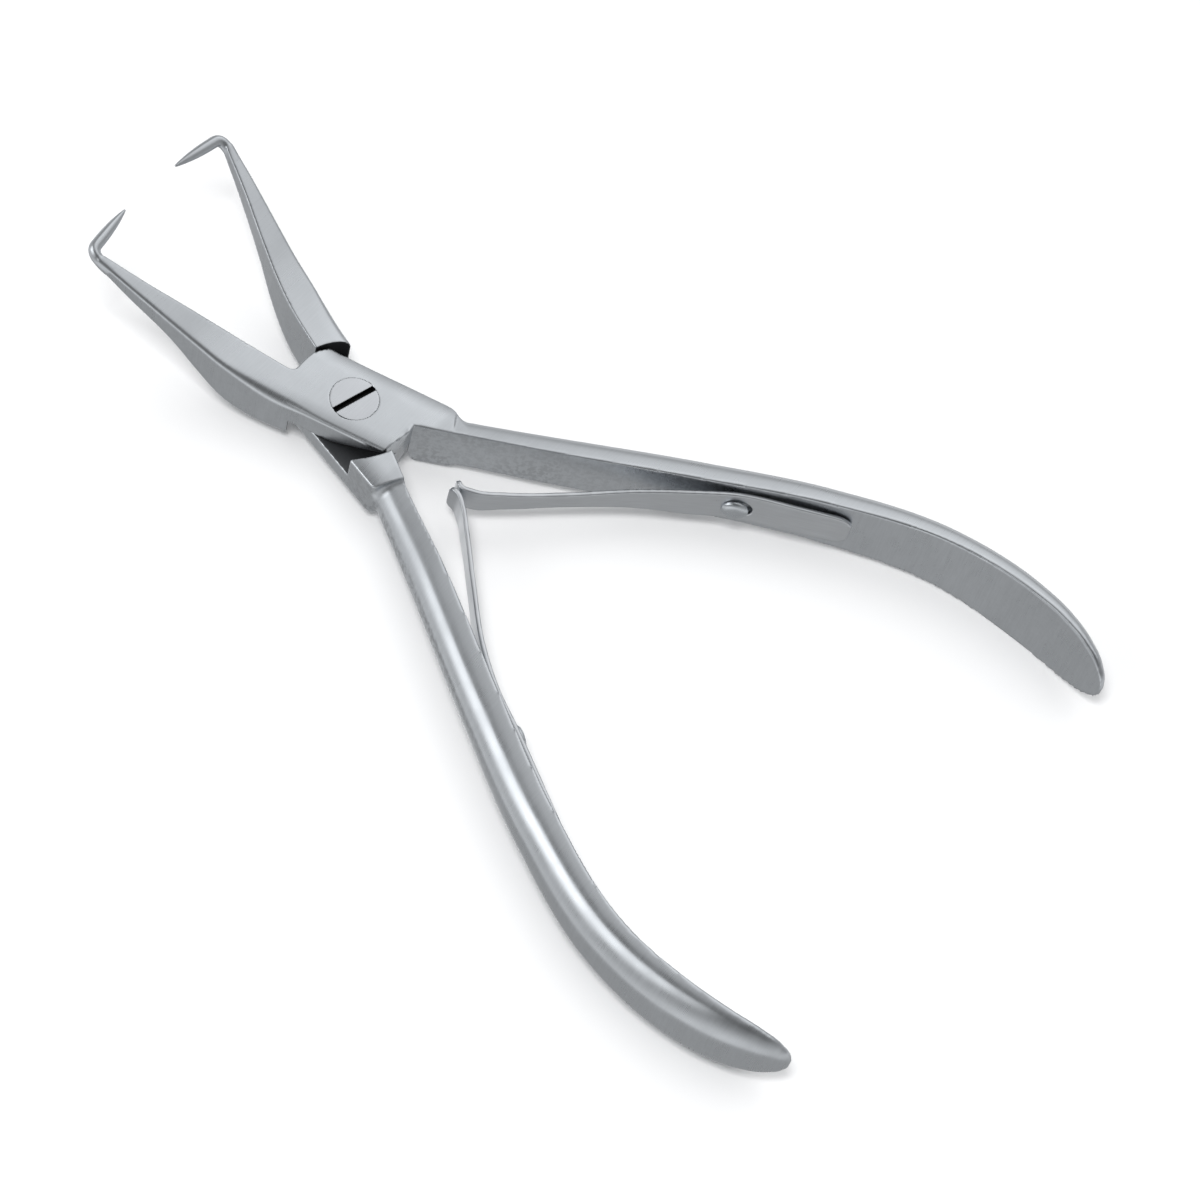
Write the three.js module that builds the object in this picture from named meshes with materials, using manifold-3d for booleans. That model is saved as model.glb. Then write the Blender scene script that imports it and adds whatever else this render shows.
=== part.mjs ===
// Jeweller's crimping pliers: a lap joint held by a slotted screw, two slender jaws
// that sweep up out of the plane of the handles and end in inward hooks, and two
// leaf springs riveted inside the handles.
//
// Millimetres, +Z up. The origin is on the pivot axis, at the screw's tail face.
// +X runs from the pivot to the hooked tips, and the pliers stand open.
// The upper half has its jaw on the +Y side and its handle on the -Y side. The lower
// half is its mirror image in plan, with the lap joint cut from the other face.

import * as THREE from 'three';
import { mergeVertices } from 'three/addons/utils/BufferGeometryUtils.js';
import Module from 'manifold-3d';

const wasm = await Module();
wasm.setup();

// ---------------------------------------------------------------- driving dimensions

// The lap joint: two round plates on a slanting band, one above the other.
const THICKNESS = 7.5;
const LAP_HEIGHT = 3.4;
const LAP_GAP = 0.08;
const UPPER_PLATE_RADIUS = 8.4;
const LOWER_PLATE_RADIUS = 7.9;
const SHOULDER_GAP = 0.3;
const BAND_HALF_WIDTH = { jawSide: 5.0, handleSide: 5.7 };
const BAND_TILT = THREE.MathUtils.degToRad(13.5);
const CROWN = 0.35;
const EDGE_ROUND = 1.1;

// The block behind each plate, where the handle grows out of the joint.
const BLOCK_OUTLINE = [[-3.0, -7.0], [-10.2, -8.9], [-12.2, -5.1], [-7.6, -1.8], [0, 0]];
// The root of each jaw, in front of the plate.
const ROOT_OUTLINE = [[0, 0], [6.8, 1.6], [7.8, 2.1], [7.8, 7.8], [2.0, 5.9]];

// The pivot screw, its head flush with the upper plate and its tail with the lower one.
const HEAD_RADIUS = 3.2;
const HEAD_DEPTH = 1.9;
const SHANK_RADIUS = 1.9;
const SCREW_CLEARANCE = 0.05;
const SLOT_WIDTH = 0.95;
const SLOT_DEPTH = 1.0;
const SLOT_ANGLE = THREE.MathUtils.degToRad(75.6);

// The jaw's section at stations along X: inner face, outer face, bottom, top, and the
// power of its outer curve, from nearly square at the root to round at the bend.
const JAW_STATIONS = [
  { x: 5.0, inner: 1.4, outer: 6.3, bottom: 0.1, top: 7.3, power: 8.0 },
  { x: 8.0, inner: 2.2, outer: 7.15, bottom: 0.05, top: 7.6, power: 7.5 },
  { x: 11.0, inner: 3.0, outer: 8.0, bottom: 0.35, top: 8.3, power: 6.5 },
  { x: 15.0, inner: 4.2, outer: 9.0, bottom: 2.1, top: 9.5, power: 5.5 },
  { x: 18.5, inner: 5.5, outer: 9.7, bottom: 5.0, top: 11.0, power: 4.6 },
  { x: 22.0, inner: 7.0, outer: 10.5, bottom: 8.5, top: 12.8, power: 3.8 },
  { x: 29.0, inner: 10.15, outer: 12.2, bottom: 13.6, top: 16.5, power: 2.9 },
  { x: 32.4, inner: 11.5, outer: 13.0, bottom: 16.1, top: 18.2, power: 2.2 },
];
// The hook: a tight bend, then a straight point towards the other jaw.
const HOOK_TIP = new THREE.Vector3(35.5, 4.8, 18.5);
const HOOK_BEND = new THREE.Vector3(1.8, 0.6, 1.1);
const HOOK_BEND_LENGTH = 1.6;
const HOOK_WIDTH = 1.3;
const HOOK_HEIGHT = 1.5;

// The handle's section at stations along X: inner face (distance from the middle plane),
// bottom, top and thickness. The inner face is flat and the outer side half an ellipse.
const HANDLE_STATIONS = [
  { x: -96.6, inner: 34.15, bottom: 3.7, top: 5.6, thickness: 0.7 },
  { x: -96.2, inner: 34.25, bottom: 2.8, top: 6.7, thickness: 1.1 },
  { x: -95.0, inner: 34.6, bottom: 1.4, top: 8.2, thickness: 1.7 },
  { x: -92.0, inner: 35.4, bottom: -0.25, top: 9.7, thickness: 2.5 },
  { x: -88.0, inner: 36.15, bottom: -1.1, top: 10.4, thickness: 3.15 },
  { x: -82.0, inner: 36.55, bottom: -1.35, top: 10.55, thickness: 3.7 },
  { x: -70.0, inner: 35.3, bottom: -0.75, top: 10.15, thickness: 4.05 },
  { x: -55.0, inner: 29.1, bottom: 0.1, top: 9.75, thickness: 4.35 },
  { x: -40.0, inner: 20.7, bottom: 0.55, top: 9.0, thickness: 4.4 },
  { x: -25.0, inner: 11.85, bottom: 0.4, top: 8.3, thickness: 4.15 },
  { x: -12.0, inner: 4.55, bottom: 0.1, top: 7.65, thickness: 3.6 },
  { x: -7.0, inner: 1.6, bottom: 0.1, top: 7.4, thickness: 3.6 },
];

// The leaf springs: the middle of each strip in plan, its height and its depth. The
// upper half's leaf ends in a lip that curls away from the other leaf, and the lower
// half's leaf lies over that lip.
const LEAF_THICKNESS = 0.6;
const UPPER_LEAF = [
  { x: -58.6, y: -30.4, z: 4.9, depth: 5.0 },
  { x: -52.5, y: -27.1, z: 5.0, depth: 5.2 },
  { x: -45.0, y: -22.95, z: 5.0, depth: 5.2 },
  { x: -40.7, y: -19.7, z: 4.8, depth: 5.0 },
  { x: -35.4, y: -15.6, z: 4.6, depth: 4.0 },
  { x: -28.0, y: -8.5, z: 4.3, depth: 2.9 },
  { x: -22.9, y: -3.4, z: 4.3, depth: 3.4 },
  { x: -19.5, y: -0.6, z: 4.3, depth: 4.1 },
  { x: -17.8, y: -0.1, z: 4.3, depth: 4.1 },
  { x: -16.9, y: -0.7, z: 4.3, depth: 4.1 },
];
const LOWER_LEAF = [
  { x: -58.6, y: -30.4, z: 4.9, depth: 5.0 },
  { x: -52.5, y: -27.1, z: 5.0, depth: 5.2 },
  { x: -45.0, y: -22.95, z: 5.0, depth: 5.2 },
  { x: -40.0, y: -20.2, z: 4.8, depth: 4.8 },
  { x: -34.2, y: -15.9, z: 4.5, depth: 3.8 },
  { x: -28.0, y: -9.9, z: 4.3, depth: 2.9 },
  { x: -22.2, y: -4.2, z: 4.3, depth: 3.3 },
  { x: -19.8, y: -2.0, z: 4.3, depth: 3.9 },
  { x: -18.0, y: -0.95, z: 4.3, depth: 4.0 },
  { x: -16.9, y: -0.9, z: 4.3, depth: 3.2 },
];
const LEAF_HOLE_RADIUS = 1.4;
const LEAF_HOLE_STRETCH = 0.9;

// The rivet that holds each leaf: a shank in the handle and a low domed head.
const RIVET_X = -45.0;
const RIVET_SHANK_RADIUS = 1.15;
const RIVET_SHANK_DEPTH = 2.0;
const RIVET_HEAD_RADIUS = 1.8;
const RIVET_HEAD_HEIGHT = 0.75;
const RIVET_CLEARANCE = 0.05;
const RIVET_SEAT_GAP = 0.25;

const STEEL = { color: 0xb9bcc0, roughness: 0.34, metalness: 1.0 };
const SPRING_STEEL = { color: 0xa3a6a9, roughness: 0.42, metalness: 1.0 };
const RIVET_STEEL = { color: 0xaeb1b4, roughness: 0.36, metalness: 1.0 };

const UP = new THREE.Vector3(0, 0, 1);

// ---------------------------------------------------------------- geometry helpers

// A smooth function of x through stations, giving an object with the same fields.
function smoothStations(stations) {
  const fields = Object.keys(stations[0]).filter((field) => field !== 'x');
  const positions = stations.map((station) => station.x);
  const values = stations.flatMap((station) => fields.map((field) => station[field]));
  const curve = new THREE.CubicInterpolant(positions, values, fields.length);
  return (x) => {
    const result = curve.evaluate(x);
    return Object.fromEntries(fields.map((field, index) => [field, result[index]]));
  };
}

// A closed solid through rings of points, with a fan over each end.
function loft(rings) {
  const size = rings[0].length;
  const points = rings.flat();
  const triangles = [];
  for (let ring = 0; ring < rings.length - 1; ring += 1) {
    for (let i = 0; i < size; i += 1) {
      const a = ring * size + i;
      const b = ring * size + (i + 1) % size;
      triangles.push(a, b, b + size, a, b + size, a + size);
    }
  }
  for (const [ring, firstTurn] of [[0, false], [rings.length - 1, true]]) {
    const centre = new THREE.Vector3();
    rings[ring].forEach((point) => centre.addScaledVector(point, 1 / size));
    points.push(centre);
    for (let i = 0; i < size; i += 1) {
      const a = ring * size + i;
      const b = ring * size + (i + 1) % size;
      triangles.push(points.length - 1, firstTurn ? a : b, firstTurn ? b : a);
    }
  }
  const geometry = new THREE.BufferGeometry().setFromPoints(points);
  geometry.setIndex(triangles);
  return geometry;
}

// The mirror image across the plane Y = 0.
function mirrored(geometry) {
  return geometry.clone().scale(1, -1, 1);
}

// A closed three.js geometry as a solid for joining and cutting, its faces turned out.
function solid(geometry) {
  const bare = geometry.clone();
  bare.deleteAttribute('normal');
  bare.deleteAttribute('uv');
  const merged = mergeVertices(bare, 1e-5);
  const vertProperties = new Float32Array(merged.getAttribute('position').array);
  const triVerts = new Uint32Array(merged.getIndex().array);
  if (signedVolume(vertProperties, triVerts) < 0) {
    triVerts.reverse();
  }
  return new wasm.Manifold(new wasm.Mesh({ numProp: 3, vertProperties, triVerts }));
}

function signedVolume(positions, triangles) {
  const corner = (i) => new THREE.Vector3().fromArray(positions, 3 * triangles[i]);
  let volume = 0;
  for (let i = 0; i < triangles.length; i += 3) {
    volume += corner(i).dot(corner(i + 1).cross(corner(i + 2))) / 6;
  }
  return volume;
}

// The finished solid as a named mesh.
function meshOf(name, body, finish) {
  const mesh = body.getMesh();
  const geometry = new THREE.BufferGeometry();
  geometry.setAttribute('position', new THREE.BufferAttribute(mesh.vertProperties, 3));
  geometry.setIndex(new THREE.BufferAttribute(mesh.triVerts, 1));
  geometry.computeVertexNormals();
  const result = new THREE.Mesh(geometry, new THREE.MeshStandardMaterial(finish));
  result.name = name;
  return result;
}

// A cylinder standing on the pivot axis from one height to another.
function pivotCylinder(radius, bottom, top, sides = 72) {
  const geometry = new THREE.CylinderGeometry(radius, radius, top - bottom, sides);
  geometry.rotateX(Math.PI / 2);
  geometry.translate(0, 0, (bottom + top) / 2);
  return geometry;
}

// An upright prism over a plan outline, as tall as the joint.
function prism(outline) {
  const shape = new THREE.Shape(outline.map(([x, y]) => new THREE.Vector2(x, y)));
  return new THREE.ExtrudeGeometry(shape, { depth: THICKNESS, bevelEnabled: false });
}

// A section with a flat inner face and a rounded outer side. `inner` is a point of the
// inner face's plane, and `outward` points from that face to the outer side.
function dSection(inner, outward, up, thickness, bottom, top, power, steps = 14) {
  const height = (top - bottom) / 2;
  const centre = (top + bottom) / 2;
  const ring = [];
  for (let i = 0; i <= steps; i += 1) {
    const angle = Math.PI / 2 - Math.PI * (i / steps);
    const across = thickness * Math.cos(angle) ** (2 / power);
    const side = Math.sin(angle);
    const along = centre + height * Math.sign(side) * Math.abs(side) ** (2 / power);
    ring.push(inner.clone().addScaledVector(outward, across).addScaledVector(up, along));
  }
  return ring;
}

// ---------------------------------------------------------------- the two halves

// The joint's outline, crowned across the band and rounded along its edges.
function crownedBand() {
  const left = -BAND_HALF_WIDTH.jawSide;
  const right = BAND_HALF_WIDTH.handleSide;
  const top = THICKNESS;
  const low = CROWN * 0.6;
  const shape = new THREE.Shape();
  shape.moveTo(left, CROWN + EDGE_ROUND);
  shape.lineTo(left, top - CROWN - EDGE_ROUND);
  shape.quadraticCurveTo(left, top - CROWN, left + EDGE_ROUND, top - low);
  shape.quadraticCurveTo(0, top + low, right - EDGE_ROUND, top - low);
  shape.quadraticCurveTo(right, top - CROWN, right, top - CROWN - EDGE_ROUND);
  shape.lineTo(right, CROWN + EDGE_ROUND);
  shape.quadraticCurveTo(right, CROWN, right - EDGE_ROUND, low);
  shape.quadraticCurveTo(0, -low, left + EDGE_ROUND, low);
  shape.quadraticCurveTo(left, CROWN, left, CROWN + EDGE_ROUND);
  const length = 5 * UPPER_PLATE_RADIUS;
  const geometry = new THREE.ExtrudeGeometry(shape, {
    depth: length,
    bevelEnabled: false,
    curveSegments: 5,
  });
  geometry.translate(0, 0, -length / 2);
  geometry.rotateX(Math.PI / 2);
  geometry.rotateZ(BAND_TILT - Math.PI / 2);
  return geometry;
}

// The jaw, swept from its root to the bend and on along the hook to its point.
function jaw() {
  const at = smoothStations(JAW_STATIONS);
  const rings = [];
  const first = JAW_STATIONS[0].x;
  const last = JAW_STATIONS.at(-1).x;
  const steps = 22;
  for (let i = 0; i <= steps; i += 1) {
    const x = first + (last - first) * (i / steps);
    const section = at(x);
    const inner = new THREE.Vector3(x, section.inner, 0);
    rings.push(dSection(inner, new THREE.Vector3(0, 1, 0), UP,
      section.outer - section.inner, section.bottom, section.top, section.power));
  }
  return loft([...rings, ...hookRings(at(last), last)]);
}

// The hook's rings: round the bend, then tapering to the point.
function hookRings(section, x) {
  const start = new THREE.Vector3(
    x,
    (section.inner + section.outer) / 2,
    (section.bottom + section.top) / 2,
  );
  const corner = start.clone().add(HOOK_BEND);
  const bend = new THREE.QuadraticBezierCurve3(
    start,
    corner,
    corner.clone().lerp(HOOK_TIP, HOOK_BEND_LENGTH / corner.distanceTo(HOOK_TIP)),
  );
  const point = new THREE.LineCurve3(bend.v2, HOOK_TIP);
  const rings = [];
  for (const t of [0.25, 0.45, 0.65, 0.85, 1]) {
    rings.push(hookSection(bend.getPoint(t), bend.getTangent(t), 1));
  }
  for (const t of [0.3, 0.55, 0.75, 0.9, 1]) {
    const taper = Math.max(Math.sqrt(1 - t * t), 0.12);
    rings.push(hookSection(point.getPoint(t), point.getTangent(t), taper));
  }
  return rings;
}

function hookSection(centre, along, taper) {
  const outward = new THREE.Vector3().crossVectors(UP, along).normalize();
  const upward = new THREE.Vector3().crossVectors(along, outward);
  const width = HOOK_WIDTH * taper;
  const height = HOOK_HEIGHT * taper;
  const inner = centre.clone().addScaledVector(outward, -width / 2);
  return dSection(inner, outward, upward, width, -height / 2, height / 2, 2.2);
}

// The handle, from its tongue-shaped end to the joint.
function handle() {
  const at = smoothStations(HANDLE_STATIONS);
  const rings = [];
  const first = HANDLE_STATIONS[0].x;
  const last = HANDLE_STATIONS.at(-1).x;
  const steps = 48;
  for (let i = 0; i <= steps; i += 1) {
    const x = first + (last - first) * (i / steps) ** 1.4;
    const section = at(x);
    const inner = new THREE.Vector3(x, -section.inner, 0);
    rings.push(dSection(inner, handleOutward(at, x), UP,
      section.thickness, section.bottom, section.top, 2));
  }
  return loft(rings);
}

// The direction in plan from the inner face of the handle to its outer side.
function handleOutward(at, x) {
  const reach = 0.2;
  const rise = (at(x + reach).inner - at(x - reach).inner) / (2 * reach);
  return new THREE.Vector3(-rise, -1, 0).normalize();
}

// One half of the pliers. The upper half is built as it stands. The lower one is its
// mirror image, and its lap is cut from the top instead of the bottom.
function half(upper) {
  const place = (geometry) => solid(upper ? geometry : mirrored(geometry));
  const shoulderRadius = (upper ? LOWER_PLATE_RADIUS : UPPER_PLATE_RADIUS) + SHOULDER_GAP;
  const [lapBottom, lapTop] = upper
    ? [-THICKNESS, LAP_HEIGHT + LAP_GAP / 2]
    : [LAP_HEIGHT - LAP_GAP / 2, 2 * THICKNESS];
  const plate = upper
    ? solid(pivotCylinder(UPPER_PLATE_RADIUS, lapTop, THICKNESS))
    : solid(pivotCylinder(LOWER_PLATE_RADIUS, 0, lapBottom));
  const joint = plate
    .add(place(prism(BLOCK_OUTLINE)))
    .add(place(prism(ROOT_OUTLINE)))
    .intersect(place(crownedBand()));
  return joint
    .add(place(jaw()))
    .add(place(handle()))
    .subtract(solid(pivotCylinder(shoulderRadius, lapBottom, lapTop)))
    .subtract(screwHole())
    .subtract(place(rivetHole()));
}

// ---------------------------------------------------------------- the pivot screw

function screwHole() {
  const shank = SHANK_RADIUS + SCREW_CLEARANCE;
  const head = HEAD_RADIUS + SCREW_CLEARANCE;
  const seat = THICKNESS - HEAD_DEPTH - SCREW_CLEARANCE;
  return solid(pivotCylinder(shank, -THICKNESS, 2 * THICKNESS, 40))
    .add(solid(pivotCylinder(head, seat, 2 * THICKNESS, 56)));
}

function pivotScrew() {
  const slot = new THREE.BoxGeometry(3 * HEAD_RADIUS, SLOT_WIDTH, 2 * SLOT_DEPTH);
  slot.rotateZ(SLOT_ANGLE);
  slot.translate(0, 0, THICKNESS);
  return solid(pivotCylinder(HEAD_RADIUS, THICKNESS - HEAD_DEPTH, 2 * THICKNESS, 56))
    .intersect(solid(crownedBand()))
    .add(solid(pivotCylinder(SHANK_RADIUS, 0, THICKNESS - HEAD_DEPTH / 2, 40)))
    .subtract(solid(slot));
}

// ---------------------------------------------------------------- springs and rivets

// A leaf spring: a flat strip on edge, along a curve in plan, with rounded ends and
// a stretched hole for its rivet.
function leafSpring(stations, upper) {
  const points = stations.map(({ x, y }) => new THREE.Vector3(x, y, 0));
  const path = new THREE.CatmullRomCurve3(points);
  const spans = stations.length - 1;
  const rings = [];
  const steps = 72;
  for (let i = 0; i <= steps; i += 1) {
    const t = i / steps;
    const before = stations[Math.floor(t * spans)];
    const after = stations[Math.ceil(t * spans)];
    const depth = THREE.MathUtils.lerp(before.depth, after.depth, (t * spans) % 1);
    const height = THREE.MathUtils.lerp(before.z, after.z, (t * spans) % 1);
    const centre = path.getPoint(t).setZ(height);
    rings.push(leafRing(centre, path.getTangent(t), depth * endRounding(t * spans, spans)));
  }
  const place = (geometry) => solid(upper ? geometry : mirrored(geometry));
  return place(loft(rings)).subtract(place(leafHole()));
}

// How much of its depth the strip keeps near its two rounded ends.
function endRounding(span, spans) {
  const nearness = Math.min(span / 0.45, (spans - span) / 0.9, 1);
  return 0.35 + 0.65 * Math.sqrt(1 - (1 - nearness) ** 2);
}

function leafRing(centre, along, depth) {
  const across = new THREE.Vector3().crossVectors(UP, along).normalize();
  const corner = (side, level) => centre.clone()
    .addScaledVector(across, side * LEAF_THICKNESS / 2)
    .addScaledVector(UP, level * depth / 2);
  return [corner(-1, -1), corner(1, -1), corner(1, 1), corner(-1, 1)];
}

// The rivet's place on the handle's inner face, and the axes of its frame there:
// X along the handle towards its end, Z out of the face towards the middle plane.
function rivetFrame() {
  const at = smoothStations(HANDLE_STATIONS);
  const { z } = UPPER_LEAF.find(({ x }) => x === RIVET_X);
  const outOfFace = handleOutward(at, RIVET_X).negate();
  const towardsEnd = new THREE.Vector3().crossVectors(outOfFace, UP).negate();
  const upright = new THREE.Vector3().crossVectors(outOfFace, towardsEnd);
  const origin = new THREE.Vector3(RIVET_X, -at(RIVET_X).inner, z);
  return new THREE.Matrix4().makeBasis(towardsEnd, upright, outOfFace).setPosition(origin);
}

// A cylinder on the rivet's axis, from one distance above the handle's face to another.
function rivetCylinder(radius, from, to) {
  const geometry = new THREE.CylinderGeometry(radius, radius, to - from, 28);
  geometry.rotateX(Math.PI / 2);
  geometry.translate(0, 0, (from + to) / 2);
  return geometry;
}

function rivetHole() {
  const radius = RIVET_SHANK_RADIUS + RIVET_CLEARANCE;
  const depth = RIVET_SHANK_DEPTH + RIVET_CLEARANCE;
  return rivetCylinder(radius, -depth, LEAF_THICKNESS).applyMatrix4(rivetFrame());
}

function leafHole() {
  const shape = new THREE.Shape();
  shape.absarc(0, 0, LEAF_HOLE_RADIUS, Math.PI / 2, -Math.PI / 2, false);
  shape.absarc(LEAF_HOLE_STRETCH, 0, LEAF_HOLE_RADIUS, -Math.PI / 2, Math.PI / 2, false);
  const depth = 6 * LEAF_THICKNESS;
  const geometry = new THREE.ExtrudeGeometry(shape, {
    depth,
    bevelEnabled: false,
    curveSegments: 12,
  });
  geometry.translate(0, 0, -depth / 3);
  return geometry.applyMatrix4(rivetFrame());
}

// The rivet: its shank in the handle, and a dome that stands clear of the leaf.
function rivet() {
  const seat = leafFaceHeight() + RIVET_SEAT_GAP;
  const profile = [new THREE.Vector2(0, -RIVET_SHANK_DEPTH)];
  profile.push(new THREE.Vector2(RIVET_SHANK_RADIUS, -RIVET_SHANK_DEPTH));
  profile.push(new THREE.Vector2(RIVET_SHANK_RADIUS, seat));
  const steps = 8;
  for (let i = 0; i <= steps; i += 1) {
    const angle = (Math.PI / 2) * (i / steps);
    profile.push(new THREE.Vector2(
      RIVET_HEAD_RADIUS * Math.cos(angle) ** 0.7,
      seat + RIVET_HEAD_HEIGHT * Math.sin(angle),
    ));
  }
  profile.at(-1).x = 0;
  const geometry = new THREE.LatheGeometry(profile, 28);
  geometry.rotateX(Math.PI / 2);
  return geometry.applyMatrix4(rivetFrame());
}

// How far the leaf's near face stands off the handle's inner face at the rivet.
function leafFaceHeight() {
  const { y, z } = UPPER_LEAF.find(({ x }) => x === RIVET_X);
  const middle = new THREE.Vector3(RIVET_X, y, z);
  return middle.applyMatrix4(rivetFrame().invert()).z + LEAF_THICKNESS / 2;
}

// ---------------------------------------------------------------- the assembly

const pliers = new THREE.Group();
pliers.add(meshOf('upper_half', half(true), STEEL));
pliers.add(meshOf('lower_half', half(false), STEEL));
pliers.add(meshOf('pivot_screw', pivotScrew(), STEEL));
pliers.add(meshOf('upper_leaf_spring', leafSpring(UPPER_LEAF, true), SPRING_STEEL));
pliers.add(meshOf('lower_leaf_spring', leafSpring(LOWER_LEAF, false), SPRING_STEEL));
pliers.add(meshOf('upper_spring_rivet', solid(rivet()), RIVET_STEEL));
pliers.add(meshOf('lower_spring_rivet', solid(mirrored(rivet())), RIVET_STEEL));

export default pliers;
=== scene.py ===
# Jeweller's crimping pliers: satin-brushed steel, standing open on a pale floor.
#
# The two halves, the leaf springs and the screw are built as distance fields in the
# CAD's own frame and turned into meshes, so that every fillet, chamfer and crown is real
# geometry. The fields are in millimetres. The meshes are in metres.

import math

import bmesh
import bpy
import numpy as np
from mathutils import Matrix, Vector


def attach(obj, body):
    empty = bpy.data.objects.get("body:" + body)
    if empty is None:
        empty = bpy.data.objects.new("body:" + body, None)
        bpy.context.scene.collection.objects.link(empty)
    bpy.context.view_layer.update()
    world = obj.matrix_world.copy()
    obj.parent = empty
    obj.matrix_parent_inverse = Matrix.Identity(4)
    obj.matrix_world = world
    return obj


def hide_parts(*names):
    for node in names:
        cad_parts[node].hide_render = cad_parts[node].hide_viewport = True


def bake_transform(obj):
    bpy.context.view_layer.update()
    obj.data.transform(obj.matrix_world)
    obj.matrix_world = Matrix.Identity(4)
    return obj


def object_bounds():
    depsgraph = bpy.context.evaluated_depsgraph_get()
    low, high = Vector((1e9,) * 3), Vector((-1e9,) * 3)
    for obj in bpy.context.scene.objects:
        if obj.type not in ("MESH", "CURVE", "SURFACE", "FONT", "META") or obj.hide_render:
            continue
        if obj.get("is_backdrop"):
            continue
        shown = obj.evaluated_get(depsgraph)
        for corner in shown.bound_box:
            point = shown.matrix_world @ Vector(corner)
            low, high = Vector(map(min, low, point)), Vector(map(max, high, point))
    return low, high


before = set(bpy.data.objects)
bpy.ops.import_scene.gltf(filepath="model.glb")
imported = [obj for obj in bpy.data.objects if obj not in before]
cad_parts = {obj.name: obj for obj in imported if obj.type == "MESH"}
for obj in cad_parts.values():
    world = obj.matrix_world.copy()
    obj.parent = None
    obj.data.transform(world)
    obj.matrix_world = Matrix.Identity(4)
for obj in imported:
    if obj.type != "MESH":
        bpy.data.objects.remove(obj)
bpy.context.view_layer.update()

MM = 0.001
COS_45 = 0.7071

# ---------------------------------------------------------------- driving dimensions, mm

THICKNESS = 7.5
LAP_HEIGHT = 3.4
LAP_GAP = 0.08
UPPER_PLATE_RADIUS = 8.4
LOWER_PLATE_RADIUS = 7.9
SHOULDER_GAP = 0.3
BAND_JAW_SIDE = 5.0
BAND_HANDLE_SIDE = 5.7
BAND_TILT = math.radians(13.5)

HEAD_RADIUS = 3.2
HEAD_DEPTH = 1.9
SHANK_RADIUS = 1.9
SCREW_CLEARANCE = 0.005
SLOT_WIDTH = 0.75
SLOT_DEPTH = 1.0
SLOT_ANGLE = math.radians(75.6)

RIVET_X = -45.0
RIVET_Z = 5.0
RIVET_SHANK_RADIUS = 1.15
RIVET_SHANK_DEPTH = 2.0
RIVET_HEAD_RADIUS = 1.8
RIVET_HEAD_HEIGHT = 0.75
RIVET_SEAT_GAP = 0.12

# The joint's block runs back from the plate, to the slanting end where the handle leaves it.
UPPER_BLOCK_LENGTH = 10.5
LOWER_BLOCK_LENGTH = 10.1
BLOCK_END_Y = -8.3
BLOCK_END_FACING = (0.874, 0.486)
HANDLE_START = -9.3
HANDLE_END = -96.6
JAW_END = 33.0

LEAF_THICKNESS = 0.6
LEAF_HOLE_RADIUS = 1.4
LEAF_HOLE_STRETCH = 0.9
LEAF_Y_AT_RIVET = -22.95

HOOK_TIP = np.array([35.5, 4.8, 18.5])
HOOK_START = np.array([31.6, 11.95, 16.6])
HOOK_CORNER = np.array([34.3, 12.9, 18.3])
HOOK_BEND_LENGTH = 1.7
HOOK_BEND_POINTS = 16


def spline(stations):
    """A smooth function through (x, value) stations, straight beyond its ends."""
    at, value = np.array(stations, float).T
    slope = np.gradient(value, at)

    def evaluate(x):
        i = np.clip(np.searchsorted(at, x) - 1, 0, len(at) - 2)
        span = at[i + 1] - at[i]
        t = np.clip((x - at[i]) / span, 0.0, 1.0)
        beyond = np.minimum(x - at[0], 0.0) * slope[0]
        beyond = beyond + np.maximum(x - at[-1], 0.0) * slope[-1]
        return (
            value[i] * (1 + 2 * t) * (1 - t) ** 2
            + value[i + 1] * t * t * (3 - 2 * t)
            + slope[i] * span * t * (1 - t) ** 2
            - slope[i + 1] * span * t * t * (1 - t)
            + beyond
        )

    return evaluate


def band_edge(x):
    """Y of the joint's jaw-side edge, a straight line that slants with the band."""
    return (BAND_JAW_SIDE + x * math.sin(BAND_TILT)) / math.cos(BAND_TILT)


JAW_INNER = spline([
    (0.0, 0.05), (5.0, 1.4), (8.0, 2.2), (11.0, 3.0), (15.0, 4.2),
    (18.5, 5.5), (22.0, 7.0), (29.0, 10.15), (32.4, 11.5),
])
JAW_OUTER = spline([
    (-12.0, band_edge(-12.0)), (0.0, band_edge(0.0)), (5.0, band_edge(5.0)), (8.0, 7.2),
    (11.0, 8.0), (15.0, 9.0), (18.5, 9.7), (22.0, 10.5), (29.0, 12.1), (32.4, 12.8),
])
JAW_TOP = spline([
    (-14.0, 7.5), (-4.0, 7.5), (3.0, 7.5), (8.0, 7.75), (11.0, 8.35), (15.0, 9.5),
    (18.5, 11.0), (22.0, 12.8), (29.0, 16.5), (32.4, 18.2),
])
JAW_BOTTOM = spline([
    (-14.0, 0.0), (-4.0, 0.0), (5.0, 0.0), (8.0, 0.05), (11.0, 0.35), (15.0, 2.1),
    (18.5, 5.0), (22.0, 8.5), (29.0, 13.6), (32.4, 16.1),
])
# How wide the rounding is between the jaw's top and its outer side, and its inner side.
OUTER_ROUND = spline([
    (-6.0, 0.5), (2.0, 0.6), (8.5, 1.2), (15.0, 0.75), (22.0, 0.55), (33.0, 0.45),
])
INNER_ROUND = spline([(0.0, 0.25), (9.0, 0.3), (16.0, 0.35), (22.0, 0.4), (33.0, 0.4)])

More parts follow.
